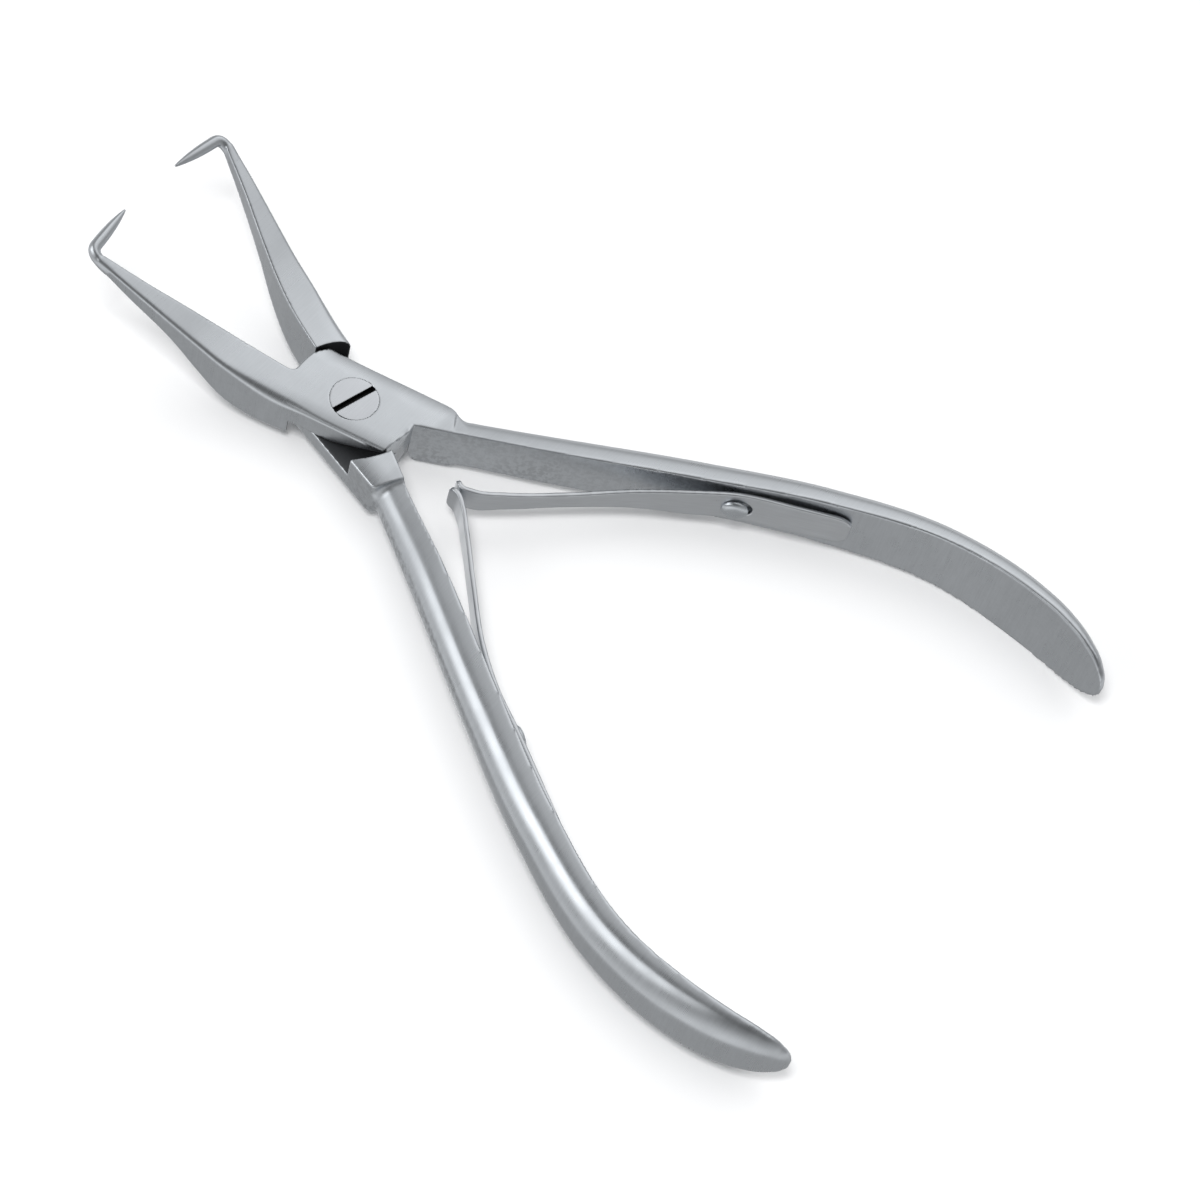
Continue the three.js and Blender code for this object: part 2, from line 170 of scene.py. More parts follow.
HANDLE_INNER = spline([
    (-96.6, 34.15), (-96.2, 34.25), (-95.0, 34.6), (-92.0, 35.4), (-88.0, 36.15),
    (-82.0, 36.55), (-70.0, 35.3), (-55.0, 29.1), (-40.0, 20.7), (-25.0, 11.85),
    (-12.0, 4.55), (-7.0, 1.6),
])
HANDLE_BOTTOM = spline([
    (-96.6, 3.7), (-96.2, 2.8), (-95.0, 1.4), (-92.0, -0.25), (-88.0, -1.1),
    (-82.0, -1.35), (-70.0, -0.75), (-55.0, 0.1), (-40.0, 0.55), (-25.0, 0.4),
    (-12.0, 0.1), (-7.0, 0.1),
])
HANDLE_TOP = spline([
    (-96.6, 5.6), (-96.2, 6.7), (-95.0, 8.2), (-92.0, 9.7), (-88.0, 10.4),
    (-82.0, 10.55), (-70.0, 10.15), (-55.0, 9.75), (-40.0, 9.0), (-25.0, 8.25),
    (-12.0, 7.55), (-7.0, 7.35),
])
HANDLE_THICKNESS = spline([
    (-96.6, 0.7), (-96.2, 1.1), (-95.0, 1.7), (-92.0, 2.5), (-88.0, 3.15),
    (-82.0, 3.7), (-70.0, 4.05), (-55.0, 4.35), (-40.0, 4.4), (-25.0, 4.15),
    (-12.0, 3.6), (-7.0, 3.6),
])
# How far the bevel along the handle's top inner edge cuts into it.
HANDLE_BEVEL = spline([
    (-97.0, 0.55), (-92.0, 0.4), (-84.0, 0.3), (-72.0, 0.2), (-60.0, 0.08), (-8.0, 0.05),
])
# The lower half's handle starts lower behind the joint, and ends higher and blunter.
LOWER_START_DROP = 0.7
LOWER_END_RISE = 0.9
LOWER_END_RISE_FROM = -74.0
LOWER_END_RISE_LENGTH = 18.0
FACET_TILT = math.radians(12.0)
# How far out the flat lies that is ground along the handle's back, as a share of the
# thickness the rounded back would have without it.
BACK_FLAT = spline([(-97.0, 0.90), (-85.0, 0.93), (-70.0, 0.96), (-50.0, 0.98), (-8.0, 0.98)])

# The leaves in plan, as (x, y, height of the middle, depth), on the upper half's side.
UPPER_LEAF = [
    (-58.6, -30.4, 5.1, 5.4), (-52.5, -27.1, 5.2, 5.6), (-45.0, -22.95, 5.2, 5.6),
    (-40.7, -19.7, 4.9, 5.2), (-35.4, -15.6, 4.6, 4.0), (-28.0, -8.5, 4.3, 2.9),
    (-22.9, -3.4, 4.3, 3.4), (-19.5, -0.6, 4.3, 4.1), (-17.8, -0.1, 4.3, 4.1),
    (-16.9, -0.7, 4.3, 4.1),
]
LOWER_LEAF = [
    (-58.6, -30.4, 4.9, 5.0), (-52.5, -27.1, 5.0, 5.2), (-45.0, -22.95, 5.0, 5.2),
    (-40.0, -20.2, 4.8, 4.8), (-34.2, -15.9, 4.5, 4.1), (-28.0, -9.9, 4.3, 3.6),
    (-22.2, -4.2, 4.3, 3.9), (-19.8, -2.0, 4.3, 4.2), (-18.0, -0.95, 4.3, 4.2),
    (-16.9, -0.9, 4.3, 4.0),
]


# ---------------------------------------------------------------- distance fields, mm

def smooth_max(a, b, width):
    """The intersection of two solids, its edge rounded over about `width`."""
    near = np.maximum(width - np.abs(a - b), 0.0) / width
    return np.maximum(a, b) + near * near * width / 4


def fillet_min(a, b, radius):
    """The union of two solids, with a fillet of that radius where they meet."""
    inside_a = np.maximum(radius - a, 0.0)
    inside_b = np.maximum(radius - b, 0.0)
    return np.maximum(radius, np.minimum(a, b)) - np.hypot(inside_a, inside_b)


def slope_of(function, x):
    """The slope of a curve at x."""
    reach = 0.05
    return (function(x + reach) - function(x - reach)) / (2 * reach)


def above_curve(function, x, value):
    """Distance from a curve, positive where `value` is above it."""
    return (value - function(x)) / np.sqrt(1 + slope_of(function, x) ** 2)


def across_band(x, y):
    """How far a point in plan is across the joint's slanting band, from its middle line."""
    return y * math.cos(BAND_TILT) - x * math.sin(BAND_TILT)


def along_band(x, y):
    """How far a point in plan is along the joint's slanting band."""
    return x * math.cos(BAND_TILT) + y * math.sin(BAND_TILT)


def crown(x, y):
    """How far the joint's top falls from its middle line to its long edges."""
    across = across_band(x, y)
    fade = np.clip((14.0 - x) / 8.0, 0.0, 1.0) * np.clip((x + 16.0) / 4.0, 0.0, 1.0)
    edge = np.maximum(np.abs(across) - 2.8, 0.0) / 2.2
    return fade * (0.16 * (across / 5.0) ** 2 + 0.34 * edge ** 2)


def lower_end_share(x):
    """How far the lower handle's end rise has come, from 0 to 1."""
    return np.clip((LOWER_END_RISE_FROM - x) / LOWER_END_RISE_LENGTH, 0.0, 1.0)


def ease(share):
    """A share from 0 to 1, with a smooth start and finish."""
    return share * share * (3 - 2 * share)


def joint_and_jaw(x, y, z, upper):
    """The flat joint with its jaw, and the distance from the joint's crowned top."""
    plate_radius = UPPER_PLATE_RADIUS if upper else LOWER_PLATE_RADIUS
    disc = np.hypot(x, y) - plate_radius
    if upper:
        disc = np.maximum(disc, LAP_HEIGHT + LAP_GAP / 2 - z)
    jaw_inner = -above_curve(JAW_INNER, x, y)
    jaw = np.maximum(jaw_inner, -x)
    block = np.maximum(handle_face(x, y), x)
    block_length = UPPER_BLOCK_LENGTH if upper else LOWER_BLOCK_LENGTH
    facing_x, facing_y = BLOCK_END_FACING
    block_end = -(x + block_length) * facing_x - (y - BLOCK_END_Y) * facing_y
    block = np.maximum(block, block_end)
    plan = np.minimum(fillet_min(disc, jaw, 0.9), block)
    outer = above_curve(JAW_OUTER, x, y)
    side = np.maximum(outer, -across_band(x, y) - BAND_HANDLE_SIDE)
    plan = smooth_max(plan, side, 0.25)
    plan = np.maximum(plan, smooth_max(block_end, side, 1.6 if upper else 0.7))
    top = above_curve(JAW_TOP, x, z + crown(x, y))
    bottom = -above_curve(JAW_BOTTOM, x, z - crown(x, y))
    solid = smooth_max(plan, np.maximum(top, bottom), 0.22)
    solid = np.maximum(solid, smooth_max(outer, top, OUTER_ROUND(x)))
    off_jaw = np.maximum(9.0 - x, 0.0) * 5.0
    solid = np.maximum(solid, smooth_max(jaw_inner, top, INNER_ROUND(x)) - off_jaw)
    lower_chamfer = (outer + bottom) * COS_45 + 0.35
    solid = smooth_max(solid, lower_chamfer, 0.25)
    return smooth_max(solid, x - JAW_END, 0.5), np.maximum(top, block_end)


def handle_face(x, y):
    """Distance from the plane of the handle's inner face, negative inside the handle."""
    return above_curve(lambda at: -HANDLE_INNER(at), x, y)


def handle(x, y, z, upper):
    """The handle, round at the back, and the distance from the flat facet on its top."""
    depth = -handle_face(x, y)
    flat = BACK_FLAT(x)
    thickness = np.maximum(HANDLE_THICKNESS(x), 0.3) / flat
    top = HANDLE_TOP(x)
    if not upper:
        top = top - LOWER_START_DROP * ease(np.clip((x + 25.0) / 13.0, 0.0, 1.0))
        top = top + LOWER_END_RISE * ease(lower_end_share(x))
    bottom = HANDLE_BOTTOM(x)
    height = np.maximum((top - bottom) / 2, 0.3)
    across = np.maximum(depth, 0.0) / thickness
    up = (z - (top + bottom) / 2) / height
    size = np.maximum(np.hypot(across, up), 0.2)
    gradient = np.hypot(across / thickness, up / height) / size
    body = (size - 1) / gradient
    body = smooth_max(body, depth - thickness * flat, 0.2)
    facet = (z - top + 0.04) * math.cos(FACET_TILT) + depth * math.sin(FACET_TILT)
    body = smooth_max(body, facet, 0.25)
    body = np.maximum(np.maximum(body, -depth), x - HANDLE_START)
    return np.maximum(body, HANDLE_END - x), facet


def half_field(x, y, z, upper):
    """One half of the pliers, on the upper half's side of the middle plane."""
    joint, joint_top = joint_and_jaw(x, y, z, upper)
    grip, facet = handle(x, y, z, upper)
    solid = fillet_min(joint, grip, 1.7 if upper else 1.0)
    ceiling = fillet_min(joint_top, facet, 0.1 if upper else 0.8)
    solid = np.maximum(solid, np.minimum(ceiling, -6.0 - x))
    face = handle_face(x, y)
    radius = np.hypot(x, y)
    plate_radius = UPPER_PLATE_RADIUS if upper else LOWER_PLATE_RADIUS
    off_plate = np.minimum(radius - plate_radius, -5.0 - x)
    solid = smooth_max(solid, np.minimum(face, off_plate), 0.2)
    bevel = (z - HANDLE_TOP(x) + face) * COS_45 + HANDLE_BEVEL(x)
    if not upper:
        bevel = bevel - LOWER_END_RISE * COS_45 * lower_end_share(x)
    solid = smooth_max(solid, bevel - np.maximum(x + 8.6, 0.0) * 3.0, 0.15)
    solid = fillet_min(solid, hook(x, y, z), 0.2)
    shoulder = (LOWER_PLATE_RADIUS if upper else UPPER_PLATE_RADIUS) + SHOULDER_GAP
    if upper:
        lap = np.maximum(radius - shoulder, z - LAP_HEIGHT - LAP_GAP / 2)
        along = along_band(x, y)
        across = across_band(x, y)
        relief = z - (LAP_HEIGHT + 0.42 * (0.9 - along) - 1.2 * (BAND_JAW_SIDE - across))
        relief = np.maximum(relief * 0.55, radius - shoulder - 0.4)
        lap = np.minimum(lap, np.maximum(relief, x + 0.5))
    else:
        lap_top = LAP_HEIGHT - LAP_GAP / 2
        lap = np.maximum(radius - shoulder, lap_top - z)
        edge = (z - lap_top - across_band(x, y) - BAND_HANDLE_SIDE) * COS_45 + 0.06
        lap = np.minimum(lap, np.maximum(radius - shoulder, -edge))
    solid = smooth_max(solid, -lap, 0.25 if upper else 0.12)
    head_room = THICKNESS - HEAD_DEPTH - z
    hole = np.minimum(radius - SHANK_RADIUS, np.maximum(radius - HEAD_RADIUS, head_room))
    hole = hole - SCREW_CLEARANCE
    return smooth_max(solid, -hole, 0.03)


def hook_line():
    """Points along the hook's middle: round the bend, then straight to the tip."""
    to_tip = HOOK_TIP - HOOK_CORNER
    after = HOOK_CORNER + to_tip / np.linalg.norm(to_tip) * HOOK_BEND_LENGTH
    t = np.linspace(0, 1, HOOK_BEND_POINTS)[:, None]
    bend = HOOK_START * (1 - t) ** 2 + HOOK_CORNER * 2 * t * (1 - t) + after * t * t
    straight = after + (HOOK_TIP - after) * np.linspace(0, 1, 24)[1:, None]
    return np.vstack([bend, straight])


HOOK_LINE = hook_line()


def hook(x, y, z):
    """The hook: a bent needle whose section is a soft-ridged lens."""
    result = np.full(np.shape(x), 4.0)
    close = (x > 30.0) & (z > 12.0)
    if not np.any(close):
        return result
    points = np.stack([x[close], y[close], z[close]], -1)
    distance = np.full(len(points), 1e9)
    share = np.zeros(len(points))
    foot = np.zeros_like(points)
    tangent = np.zeros_like(points)
    last = len(HOOK_LINE) - 1
    for i in range(last):
        a, b = HOOK_LINE[i], HOOK_LINE[i + 1]
        along = b - a
        raw = (points - a) @ along / (along @ along)
        limit = 3.0 if i == last - 1 else 1.0
        t = np.clip(raw, 0.0, limit)
        place = a + t[:, None] * along
        d = np.linalg.norm(points - place, axis=1)
        better = d < distance
        distance[better] = d[better]
        share[better] = i + t[better]
        foot[better] = place[better]
        tangent[better] = along / np.linalg.norm(along)
    outward = np.cross(np.array([0.0, 0.0, 1.0]), tangent)
    outward /= np.linalg.norm(outward, axis=1)[:, None]
    upward = np.cross(tangent, outward)
    offset = points - foot
    straight = np.clip((share - HOOK_BEND_POINTS + 1) / (last - HOOK_BEND_POINTS + 1), 0, 1)
    bend = np.clip(share / (HOOK_BEND_POINTS - 1), 0, 1)
    taper = (1 - straight ** 2.4) * 0.82 + 0.18
    width = (1.5 + 0.1 * bend) / 2 * taper
    height = (1.95 - 0.3 * bend) / 2 * taper
    across = np.abs(np.sum(offset * outward, 1)) / width
    up = np.abs(np.sum(offset * upward, 1)) / height
    power = 1.65
    size = (across ** power + up ** power) ** (1 / power)
    body = (size - 1) * np.minimum(width, height) * 0.9
    past = np.sum((points - HOOK_TIP) * tangent, 1)
    before = np.sum((HOOK_START - points) * (HOOK_LINE[1] - HOOK_START), 1)
    before /= np.linalg.norm(HOOK_LINE[1] - HOOK_START)
    result[close] = np.maximum(np.maximum(body, past), before)
    return result


# ---------------------------------------------------------------- fields into meshes

def surface_net(field, xs, ys, zs):
    """The zero surface of a field on a rectilinear grid, as vertices and quads."""
    stride = 4
    nearest = [
        np.minimum((np.arange(len(a)) + stride // 2) // stride, (len(a) - 1) // stride)
        for a in (xs, ys, zs)
    ]
    coarse = np.meshgrid(xs[::stride], ys[::stride], zs[::stride], indexing="ij")
    rough = field(*[c.ravel() for c in coarse]).reshape(coarse[0].shape)
    values = rough[np.ix_(*nearest)].astype(np.float32)
    widest = max(np.diff(a).max() for a in (xs, ys, zs))
    i, j, k = np.nonzero(np.abs(values) < stride * widest * 1.9)
    values[i, j, k] = field(xs[i], ys[j], zs[k])
    inside = values < 0
    counts = sum(
        inside[a:a - 1 or None, b:b - 1 or None, c:c - 1 or None].astype(np.int8)
        for a in (0, 1) for b in (0, 1) for c in (0, 1)
    )
    i, j, k = np.nonzero((counts > 0) & (counts < 8))
    total = np.zeros((len(i), 3))
    crossings = np.zeros(len(i))
    corners = [(a, b, c) for a in (0, 1) for b in (0, 1) for c in (0, 1)]
    for first in corners:
        for axis in range(3):
            if first[axis]:
                continue
            second = list(first)
            second[axis] = 1
            ends = []
            for a, b, c in (first, second):
                place = np.stack([xs[i + a], ys[j + b], zs[k + c]], -1)
                ends.append((place, values[i + a, j + b, k + c].astype(float)))
            (p, u), (q, v) = ends
            cross = (u < 0) != (v < 0)
            t = np.where(cross, u / np.where(cross, u - v, 1.0), 0.0)[:, None]
            total += np.where(cross[:, None], p + t * (q - p), 0.0)
            crossings += cross
    vertices = total / crossings[:, None]
    index = np.full(counts.shape, -1, np.int64)
    index[i, j, k] = np.arange(len(i))
    quads = []
    around = {
        0: [(0, -1, -1), (0, 0, -1), (0, 0, 0), (0, -1, 0)],
        1: [(-1, 0, -1), (-1, 0, 0), (0, 0, 0), (0, 0, -1)],
        2: [(-1, -1, 0), (0, -1, 0), (0, 0, 0), (-1, 0, 0)],
    }
    for axis, cells in around.items():
        low = [slice(None)] * 3
        high = [slice(None)] * 3
        low[axis] = slice(None, -1)
        high[axis] = slice(1, None)
        leaving = inside[tuple(low)] & ~inside[tuple(high)]
        entering = ~inside[tuple(low)] & inside[tuple(high)]
        for mask, flip in ((leaving, False), (entering, True)):
            node = np.stack(np.nonzero(mask), -1)
            corner = [index[tuple((node + offset).T)] for offset in cells]
            quad = np.stack(corner, -1)
            quads.append(quad[:, ::-1] if flip else quad)
    return vertices, np.vstack(quads)


def settle(field, vertices, reach):
    """The vertices moved onto the field's surface, each by at most `reach`."""
    step = 0.02
    start = vertices.copy()
    for _ in range(3):
        value = field(*vertices.T)
        gradient = np.zeros_like(vertices)
        for axis in range(3):
            ahead = vertices.copy()
            behind = vertices.copy()
            ahead[:, axis] += step
            behind[:, axis] -= step
            gradient[:, axis] = (field(*ahead.T) - field(*behind.T)) / (2 * step)
        squared = np.maximum(np.sum(gradient ** 2, 1), 0.25)
        vertices = vertices - gradient * (value / squared)[:, None]
        offset = vertices - start
        length = np.maximum(np.linalg.norm(offset, axis=1), 1e-9)
        vertices = start + offset * np.minimum(1.0, reach / length)[:, None]
    return vertices


def piece_from_field(name, field, xs, ys, zs, mirror=False):
    """A smooth mesh object of a field's surface, in metres."""
    vertices, quads = surface_net(field, xs, ys, zs)
    vertices = settle(field, vertices, 0.6 * min(np.diff(a).min() for a in (xs, ys, zs)))
    if mirror:
        vertices = vertices * [1, -1, 1]
        quads = quads[:, ::-1]
    mesh = bpy.data.meshes.new(name)
    mesh.vertices.add(len(vertices))
    mesh.vertices.foreach_set("co", (vertices * MM).astype(np.float32).ravel())
    mesh.loops.add(quads.size)
    mesh.loops.foreach_set("vertex_index", quads.astype(np.int32).ravel())
    mesh.polygons.add(len(quads))
    mesh.polygons.foreach_set("loop_start", np.arange(0, quads.size, 4, dtype=np.int32))
    mesh.polygons.foreach_set("loop_total", np.full(len(quads), 4, np.int32))
    mesh.polygons.foreach_set("use_smooth", np.ones(len(quads), bool))
    mesh.update()
    mesh.validate()
    piece = bpy.data.objects.new(name, mesh)
    bpy.context.scene.collection.objects.link(piece)
    return piece


def steps(*spans):
    """Grid lines through (from, to, step) spans that join end to end."""
    parts = [np.arange(start, stop, step) for start, stop, step in spans]
    return np.concatenate(parts)


# ---------------------------------------------------------------- springs, screw, rivets

def leaf_path(stations):
    """Points close together along a leaf, with its height and depth at each."""
    x, y, middle, depth = np.array(stations).T
    travelled = np.concatenate([[0], np.cumsum(np.hypot(np.diff(x), np.diff(y)))])
    at = np.linspace(0, travelled[-1], 260)
    columns = [spline(list(zip(travelled, column)))(at) for column in (x, y, middle, depth)]
    return np.stack(columns, -1), at


def rivet_axes():
    """The rivet's point on the handle's face, and the way out of the face."""
    rise = float(slope_of(HANDLE_INNER, RIVET_X))
    out = np.array([rise, 1.0, 0.0]) / math.hypot(rise, 1.0)
    return np.array([RIVET_X, -float(HANDLE_INNER(RIVET_X)), RIVET_Z]), out


def leaf_field(stations):
    path, travelled = leaf_path(stations)
    base, out = rivet_axes()
    along_handle = np.array([-out[1], out[0], 0.0])
    along_handle *= -np.sign(along_handle[0])

    def field(x, y, z):
        distance = np.full(x.shape, 1e9)
        side = np.zeros(x.shape)
        run = np.zeros(x.shape)
        for i in range(len(path) - 1):
            a, b = path[i, :2], path[i + 1, :2]
            way = b - a
            length = math.hypot(*way)
            way = way / length
            t = (x - a[0]) * way[0] + (y - a[1]) * way[1]
            low = -3.0 if i == 0 else 0.0
            high = length + 3.0 if i == len(path) - 2 else length
            t = np.clip(t, low, high)
            dx = x - a[0] - t * way[0]
            dy = y - a[1] - t * way[1]
            d = dx * dx + dy * dy
            better = d < distance
            distance = np.where(better, d, distance)
            side = np.where(better, np.sqrt(d), side)
            run = np.where(better, travelled[i] + t, run)
        middle = np.interp(run, travelled, path[:, 2])
        depth = np.interp(run, travelled, path[:, 3])
        end = travelled[-1]
        near = np.clip(np.minimum((run + 0.2) / 2.4, (end + 0.15 - run) / 0.9), 0.0, 1.0)
        half_depth = depth / 2 * (0.3 + 0.7 * np.sqrt(1 - (1 - near) ** 2))
        strip = smooth_max(side - LEAF_THICKNESS / 2, np.abs(z - middle) - half_depth, 0.16)
        strip = smooth_max(strip, np.maximum(-run, run - end), 0.2)
        from_base = [x - base[0], y - base[1], z - base[2]]
        sideways = from_base[0] * along_handle[0] + from_base[1] * along_handle[1]
        beyond = np.maximum(sideways - LEAF_HOLE_STRETCH, 0.0) + np.minimum(sideways, 0.0)
        hole = np.hypot(beyond, from_base[2]) - LEAF_HOLE_RADIUS
        outward = from_base[0] * out[0] + from_base[1] * out[1]
        hole = np.maximum(hole, np.abs(outward) - 4.0)
        return smooth_max(strip, -hole, 0.12)

    return field, base, out


def screw_field(x, y, z):
    radius = np.hypot(x, y)
    top = z + crown(x, y) - THICKNESS
    head = smooth_max(radius - HEAD_RADIUS, top, 0.03)
    head = np.maximum(head, THICKNESS - HEAD_DEPTH - z)
    shank = smooth_max(radius - SHANK_RADIUS, -z, 0.2)
    shank = np.maximum(shank, z - THICKNESS + HEAD_DEPTH / 2)
    body = np.minimum(head, shank)
    across = -x * math.sin(SLOT_ANGLE) + y * math.cos(SLOT_ANGLE)
    slot = np.maximum(np.abs(across) - SLOT_WIDTH / 2, THICKNESS - SLOT_DEPTH - z)
    return smooth_max(body, -slot, 0.1)


def rivet_piece(name, leaf_height, mirror):
    """A rivet turned from a profile: shank, low rim and dome."""
    seat = leaf_height + RIVET_SEAT_GAP
    rim = 0.16
    profile = [(0.0, -RIVET_SHANK_DEPTH), (RIVET_SHANK_RADIUS, -RIVET_SHANK_DEPTH)]
    profile += [(RIVET_SHANK_RADIUS, seat), (RIVET_HEAD_RADIUS - 0.06, seat)]
    profile += [(RIVET_HEAD_RADIUS, seat + 0.06), (RIVET_HEAD_RADIUS, seat + rim)]
    for i in range(1, 15):
        angle = math.pi / 2 * i / 15
        profile.append((
            RIVET_HEAD_RADIUS * math.cos(angle) ** 0.62,
            seat + rim + (RIVET_HEAD_HEIGHT - rim) * math.sin(angle),
        ))
    profile.append((0.0, seat + RIVET_HEAD_HEIGHT))
    sides = 72
    build = bmesh.new()
    rings = []
    for radius, height in profile:
        if radius == 0.0:
            rings.append([build.verts.new((0, 0, height * MM))])
            continue
        turn = [2 * math.pi * n / sides for n in range(sides)]
        rings.append([
            build.verts.new((radius * MM * math.cos(a), radius * MM * math.sin(a), height * MM))
            for a in turn
        ])
    for low, high in zip(rings, rings[1:]):
        for n in range(sides):
            m = (n + 1) % sides
            if len(low) == 1:
                build.faces.new((low[0], high[m], high[n]))
            elif len(high) == 1:
                build.faces.new((low[n], low[m], high[0]))
            else:
                build.faces.new((low[n], low[m], high[m], high[n]))
    base, out = rivet_axes()
    side = Vector((-out[1], out[0], 0.0))
    turn = Matrix((side, Vector(out).cross(side), Vector(out))).transposed().to_4x4()
    turn.translation = Vector(base) * MM
    bmesh.ops.transform(build, matrix=turn, verts=build.verts)
    if mirror:
        bmesh.ops.scale(build, vec=(1, -1, 1), verts=build.verts)
    bmesh.ops.recalc_face_normals(build, faces=build.faces)
    mesh = bpy.data.meshes.new(name)
    build.to_mesh(mesh)
    build.free()
    mesh.shade_smooth()
    mesh.set_sharp_from_angle(angle=math.radians(35))
    piece = bpy.data.objects.new(name, mesh)
    bpy.context.scene.collection.objects.link(piece)
    return piece


# ---------------------------------------------------------------- materials

def steel(name, tone, roughness, grain_axis, grain=1.0, mottle=0.0, painted_shade_zones=()):
    """Brushed steel: fine parallel scratches, soft blotches and slow shade changes.

    Mottled steel also has small stains on its upright faces near the joint, and is duller
    where a handle leaves the joint. A painted-shade zone is a ring-shaped pocket or gap whose
    colour is painted near-black for the shade that falls in it: the least and the greatest
    distance from the pivot's axis, the least and the greatest height, in mm, and its tone.
    """
    material = bpy.data.materials.new(name)
    material.use_nodes = True
    nodes = material.node_tree.nodes
    links = material.node_tree.links
    shader = nodes["Principled BSDF"]
    shader.inputs["Metallic"].default_value = 1.0
    place = nodes.new("ShaderNodeTexCoord")
    x_y_z = nodes.new("ShaderNodeSeparateXYZ")
    links.new(place.outputs["Object"], x_y_z.inputs[0])
    x, y, z = x_y_z.outputs

    def noise(scale, stretch, detail, rough=0.55):
        mapping = nodes.new("ShaderNodeMapping")
        mapping.inputs["Scale"].default_value = stretch
        links.new(place.outputs["Object"], mapping.inputs["Vector"])
        texture = nodes.new("ShaderNodeTexNoise")
        texture.inputs["Scale"].default_value = scale
        texture.inputs["Detail"].default_value = detail
        texture.inputs["Roughness"].default_value = rough
        links.new(mapping.outputs["Vector"], texture.inputs["Vector"])
        return texture.outputs["Fac"]

    def spread(value, low, high, out_low, out_high):
        node = nodes.new("ShaderNodeMapRange")
        node.inputs["From Min"].default_value = low
        node.inputs["From Max"].default_value = high
        node.inputs["To Min"].default_value = out_low
        node.inputs["To Max"].default_value = out_high
        links.new(value, node.inputs["Value"])
        return node.outputs["Result"]

    def mix(factor, a, b):
        node = nodes.new("ShaderNodeMix")
        node.data_type = "RGBA"
        for socket, value in ((node.inputs[0], factor), (node.inputs[6], a), (node.inputs[7], b)):
            if isinstance(value, bpy.types.NodeSocket):
                links.new(value, socket)
            else:
                socket.default_value = value
        return node.outputs[2]

    def math_node(operation, a, b):
        node = nodes.new("ShaderNodeMath")
        node.operation = operation
        for socket, value in zip(node.inputs, (a, b)):
            if isinstance(value, bpy.types.NodeSocket):
                links.new(value, socket)
            else:
                socket.default_value = value
        return node.outputs[0]

    scratches = noise(1.0, grain_axis, 3.0, 0.6)
    blotches = noise(260.0, (1, 1, 1), 4.0)
    slow = noise(45.0, (1, 1, 1), 2.0)
    light = tuple(min(1.0, c * 1.03) for c in tone) + (1,)
    dark = tuple(c * 0.95 for c in tone) + (1,)
    colour = mix(spread(scratches, 0.3, 0.7, 0, 1), dark, light)
    shade = tuple(c * 0.86 for c in tone) + (1,)
    colour = mix(spread(slow, 0.35, 0.75, 0, 0.35), colour, shade)
    if mottle:
        speck = noise(1400.0, (1, 1, 1), 3.0, 0.6)
        stain = tuple(c * 0.5 for c in tone) + (1,)
        patches = math_node(
            "MULTIPLY", spread(speck, 0.45, 0.58, 0, mottle), spread(slow, 0.35, 0.55, 0.3, 1))
        facing = nodes.new("ShaderNodeNewGeometry")
        tilt = nodes.new("ShaderNodeSeparateXYZ")
        links.new(facing.outputs["Normal"], tilt.inputs[0])
        upright = spread(math_node("ABSOLUTE", tilt.outputs[2], 0.0), 0.1, 0.5, 1, 0)
        patches = math_node("MULTIPLY", patches, upright)
        by_joint = spread(x, -50.0 * MM, -30.0 * MM, 0.1, 1)
        off_jaw = spread(x, -11.0 * MM, -4.0 * MM, 1, 0.15)
        patches = math_node("MULTIPLY", patches, math_node("MULTIPLY", by_joint, off_jaw))
        colour = mix(patches, colour, stain)
    rough = spread(blotches, 0.3, 0.7, roughness - 0.04, roughness + 0.05)
    rough = math_node("ADD", rough, spread(scratches, 0.3, 0.7, -0.03, 0.03))
    if mottle:
        dull = spread(x, -34.0 * MM, -16.0 * MM, 0, 0.12)
        off_plate = spread(x, -10.6 * MM, -9.8 * MM, 1, 0)
        rough = math_node("ADD", rough, math_node("MULTIPLY", dull, off_plate))
    squares = [math_node("MULTIPLY", value, value) for value in (x, y)]
    radius = math_node("SQRT", math_node("ADD", *squares), 0.0)

    def within(value, least, greatest):
        middle = (least + greatest) / 2 * MM
        reach = (greatest - least) / 2 * MM
        off = math_node("ABSOLUTE", math_node("SUBTRACT", value, middle), 0.0)
        return spread(off, reach, reach + 0.04 * MM, 1, 0)

    # Painted shade: each zone's colour is mixed towards near-black for the shade that falls in its
    # pocket or gap.
    for inner, outer, low, high, black in painted_shade_zones:
        zone = math_node("MULTIPLY", within(radius, inner, outer), within(z, low, high))
        colour = mix(zone, colour, (black, black * 1.03, black * 1.08, 1))
        rough = math_node("ADD", rough, math_node("MULTIPLY", zone, 0.3))
    links.new(colour, shader.inputs["Base Color"])
    links.new(rough, shader.inputs["Roughness"])
    bump = nodes.new("ShaderNodeBump")
    bump.inputs["Strength"].default_value = 0.03 * grain
    bump.inputs["Distance"].default_value = 0.00004
    links.new(scratches, bump.inputs["Height"])
    fine = nodes.new("ShaderNodeBump")
    fine.inputs["Strength"].default_value = 0.015 * grain
    fine.inputs["Distance"].default_value = 0.00003
    links.new(noise(5200.0, (1, 1, 1), 2.0), fine.inputs["Height"])
    links.new(bump.outputs["Normal"], fine.inputs["Normal"])
    links.new(fine.outputs["Normal"], shader.inputs["Normal"])
    return material


